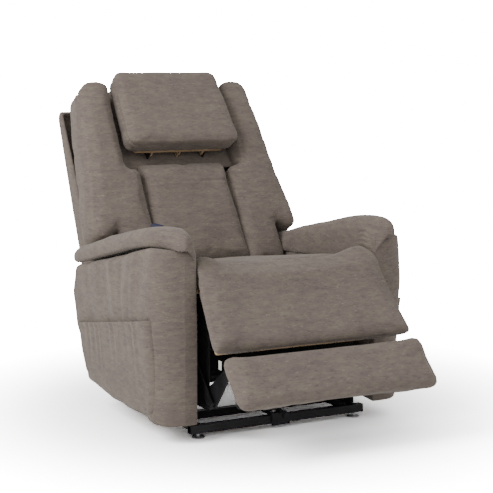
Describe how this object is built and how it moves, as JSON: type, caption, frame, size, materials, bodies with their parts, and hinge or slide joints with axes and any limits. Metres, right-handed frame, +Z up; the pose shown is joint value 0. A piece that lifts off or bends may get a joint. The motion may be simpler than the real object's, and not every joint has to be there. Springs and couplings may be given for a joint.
{
  "type": "lift recliner chair",
  "caption": "Upholstered power lift recliner: folding leg rest, reclining back with tilting headrest, and a four-bar base that raises and tips the whole seat.",
  "frame": {"origin": "centre of the whole chair's box on the floor, in the pose shown", "axes": "+Z up, -Y the way the sitter faces, +X the sitter's left"},
  "size_m": [0.88, 1.3306, 1.0863],
  "materials": {
    "fabric": "taupe textured chenille",
    "black_steel": "satin black powder coat",
    "bright_steel": "zinc plated",
    "plywood": "raw plywood",
    "black_plastic": "moulded black",
    "handset_plastic": "dark blue moulded"
  },
  "bodies": {
    "base": {"base_front_tube": "black_steel", "base_mid_tube": "black_steel", "base_rear_tube": "black_steel", "base_side_rail_left": "black_steel", "base_side_rail_right": "black_steel", "lift_actuator_bracket": "black_steel", "power_supply": "black_plastic"},
    "foot_front_left": {"foot_front_left": "bright_steel"},
    "foot_front_right": {"foot_front_right": "bright_steel"},
    "foot_rear_left": {"foot_rear_left": "bright_steel"},
    "foot_rear_right": {"foot_rear_right": "bright_steel"},
    "rear_lift": {"rear_lift_frame": "black_steel"},
    "front_lift": {"front_lift_link_left": "black_steel", "front_lift_link_right": "black_steel"},
    "carriage": {"carriage_side_plate_left": "black_steel", "carriage_side_plate_right": "black_steel", "carriage_front_bar": "black_steel", "carriage_rear_bar": "black_steel", "seat_deck": "plywood", "seat_cushion": "fabric", "side_panel_left": "fabric", "side_panel_right": "fabric", "arm_pad_left": "fabric", "arm_pad_right": "fabric", "side_pocket_left": "fabric", "side_pocket_right": "fabric", "control_box": "black_plastic", "hand_control_holder": "fabric", "legrest_actuator_housing": "black_plastic", "recline_actuator_housing": "black_plastic"},
    "lift_housing": {"lift_actuator_housing": "black_plastic"},
    "lift_rod": {"lift_actuator_rod": "bright_steel"},
    "leg_drive": {"legrest_drive_frame": "black_steel"},
    "leg_fold": {"fold_link_left": "black_steel", "fold_link_right": "black_steel"},
    "leg_cross": {"cross_link_left": "black_steel", "cross_link_right": "black_steel"},
    "footrest": {"footrest_frame": "black_steel", "footrest_pad": "fabric"},
    "leg_pad_body": {"leg_pad_board": "plywood", "leg_pad": "fabric"},
    "leg_rod": {"legrest_actuator_rod": "bright_steel"},
    "back": {"recline_yoke": "black_steel", "back_board": "plywood", "back_shell": "fabric", "back_bolster_left": "fabric", "back_bolster_right": "fabric", "back_centre_pad": "fabric", "back_top_pad": "fabric", "headrest_bracket": "black_steel", "headrest_actuator_housing": "black_plastic"},
    "recline_rod": {"recline_actuator_rod": "bright_steel"},
    "headrest": {"headrest_board": "plywood", "headrest_pad": "fabric"},
    "headrest_rod": {"headrest_actuator_rod": "bright_steel"},
    "handset": {"hand_control": "handset_plastic"},
    "button_1": {"hand_control_button_1": "black_plastic"},
    "button_2": {"hand_control_button_2": "black_plastic"},
    "button_3": {"hand_control_button_3": "black_plastic"},
    "button_4": {"hand_control_button_4": "black_plastic"}
  },
  "joints": [
    {"name": "lift", "type": "hinge", "parent": "base", "child": "rear_lift", "pos_m": [0, -0.20005, 0.2036], "axis": [1, 0, 0], "range_deg": [0, 52]},
    {"name": "carriage_tilt", "type": "hinge", "parent": "rear_lift", "child": "carriage", "pos_m": [0, 0.13527, 0.08552], "axis": [1, 0, 0], "range_deg": [-25.2, 0]},
    {"name": "front_link_turn", "type": "hinge", "parent": "base", "child": "front_lift", "pos_m": [0, -0.24105, 0.2422], "axis": [1, 0, 0], "range_deg": [0, 56.7]},
    {"name": "lift_housing_swing", "type": "hinge", "parent": "carriage", "child": "lift_housing", "pos_m": [0, 0.15735, 0.225], "axis": [1, 0, 0], "range_deg": [0, 7.7]},
    {"name": "lift_rod_slide", "type": "slide", "parent": "lift_housing", "child": "lift_rod", "axis": [0, -0.9334, -0.3588], "range_m": [0, 0.123]},
    {"name": "leg_rest", "type": "hinge", "parent": "carriage", "child": "leg_drive", "pos_m": [0, -0.13575, 0.36], "axis": [-1, 0, 0], "range_deg": [-32, 58.2]},
    {"name": "leg_rest_fold", "type": "hinge", "parent": "leg_drive", "child": "leg_fold", "pos_m": [0, -0.3433, 0.14021], "axis": [-1, 0, 0], "range_deg": [-91.2, 50.2]},
    {"name": "footrest_turn", "type": "hinge", "parent": "leg_fold", "child": "footrest", "pos_m": [0, -0.48377, 0.24051], "axis": [-1, 0, 0], "range_deg": [-48.8, 88.6]},
    {"name": "leg_pad_turn", "type": "hinge", "parent": "carriage", "child": "leg_pad_body", "pos_m": [0, -0.30683, 0.47479], "axis": [-1, 0, 0], "range_deg": [-30.8, 55.7]},
    {"name": "cross_link_turn", "type": "hinge", "parent": "carriage", "child": "leg_cross", "pos_m": [0, -0.21565, 0.305], "axis": [-1, 0, 0], "range_deg": [-36.2, 65.6]},
    {"name": "leg_rod_slide", "type": "slide", "parent": "carriage", "child": "leg_rod", "axis": [0, -1, 0], "range_m": [-0.0402, 0.0728]},
    {"name": "recline", "type": "hinge", "parent": "carriage", "child": "back", "pos_m": [0, 0.25835, 0.3], "axis": [-1, 0, 0], "range_deg": [-16, 38]},
    {"name": "recline_rod_slide", "type": "slide", "parent": "carriage", "child": "recline_rod", "axis": [0, -1, 0], "range_m": [-0.0215, 0.0509]},
    {"name": "headrest_tilt", "type": "hinge", "parent": "back", "child": "headrest", "pos_m": [0, 0.42011, 0.81108], "axis": [1, 0, 0], "range_deg": [0, 40]},
    {"name": "headrest_rod_slide", "type": "slide", "parent": "back", "child": "headrest_rod", "axis": [0, 0.5, 0.866], "range_m": [0, 0.0445]},
    {"name": "handset_lift", "type": "slide", "parent": "carriage", "child": "handset", "axis": [0, 0, 1], "range_m": [0, 0.13]},
    {"name": "button_1_press", "type": "slide", "parent": "handset", "child": "button_1", "axis": [-1, 0, 0], "range_m": [0, 0.0015], "stiffness_N_per_m": 500},
    {"name": "button_2_press", "type": "slide", "parent": "handset", "child": "button_2", "axis": [-1, 0, 0], "range_m": [0, 0.0015], "stiffness_N_per_m": 500},
    {"name": "button_3_press", "type": "slide", "parent": "handset", "child": "button_3", "axis": [-1, 0, 0], "range_m": [0, 0.0015], "stiffness_N_per_m": 500},
    {"name": "button_4_press", "type": "slide", "parent": "handset", "child": "button_4", "axis": [-1, 0, 0], "range_m": [0, 0.0015], "stiffness_N_per_m": 500},
    {"name": "foot_front_left_turn", "type": "hinge", "parent": "base", "child": "foot_front_left", "pos_m": [0.275, -0.30165, 0], "axis": [0, 0, 1], "continuous": true},
    {"name": "foot_front_right_turn", "type": "hinge", "parent": "base", "child": "foot_front_right", "pos_m": [-0.275, -0.30165, 0], "axis": [0, 0, 1], "continuous": true},
    {"name": "foot_rear_left_turn", "type": "hinge", "parent": "base", "child": "foot_rear_left", "pos_m": [0.275, 0.29835, 0], "axis": [0, 0, 1], "continuous": true},
    {"name": "foot_rear_right_turn", "type": "hinge", "parent": "base", "child": "foot_rear_right", "pos_m": [-0.275, 0.29835, 0], "axis": [0, 0, 1], "continuous": true}
  ],
  "couplings": [
    {"joint": "carriage_tilt", "follows": "lift", "ratio": -0.4828},
    {"joint": "front_link_turn", "follows": "lift", "ratio": 1.0883},
    {"joint": "lift_housing_swing", "follows": "lift", "ratio": 0.1455},
    {"joint": "lift_rod_slide", "follows": "lift", "m_per_rad": 0.1344},
    {"joint": "leg_rest_fold", "follows": "leg_rest", "ratio": -1.562},
    {"joint": "footrest_turn", "follows": "leg_rest", "ratio": 1.516},
    {"joint": "leg_pad_turn", "follows": "leg_rest", "ratio": 0.954},
    {"joint": "cross_link_turn", "follows": "leg_rest", "ratio": 1.124},
    {"joint": "leg_rod_slide", "follows": "leg_rest", "m_per_rad": 0.0715},
    {"joint": "recline_rod_slide", "follows": "recline", "m_per_rad": 0.0765},
    {"joint": "headrest_rod_slide", "follows": "headrest_tilt", "m_per_rad": 0.0635}
  ]
}
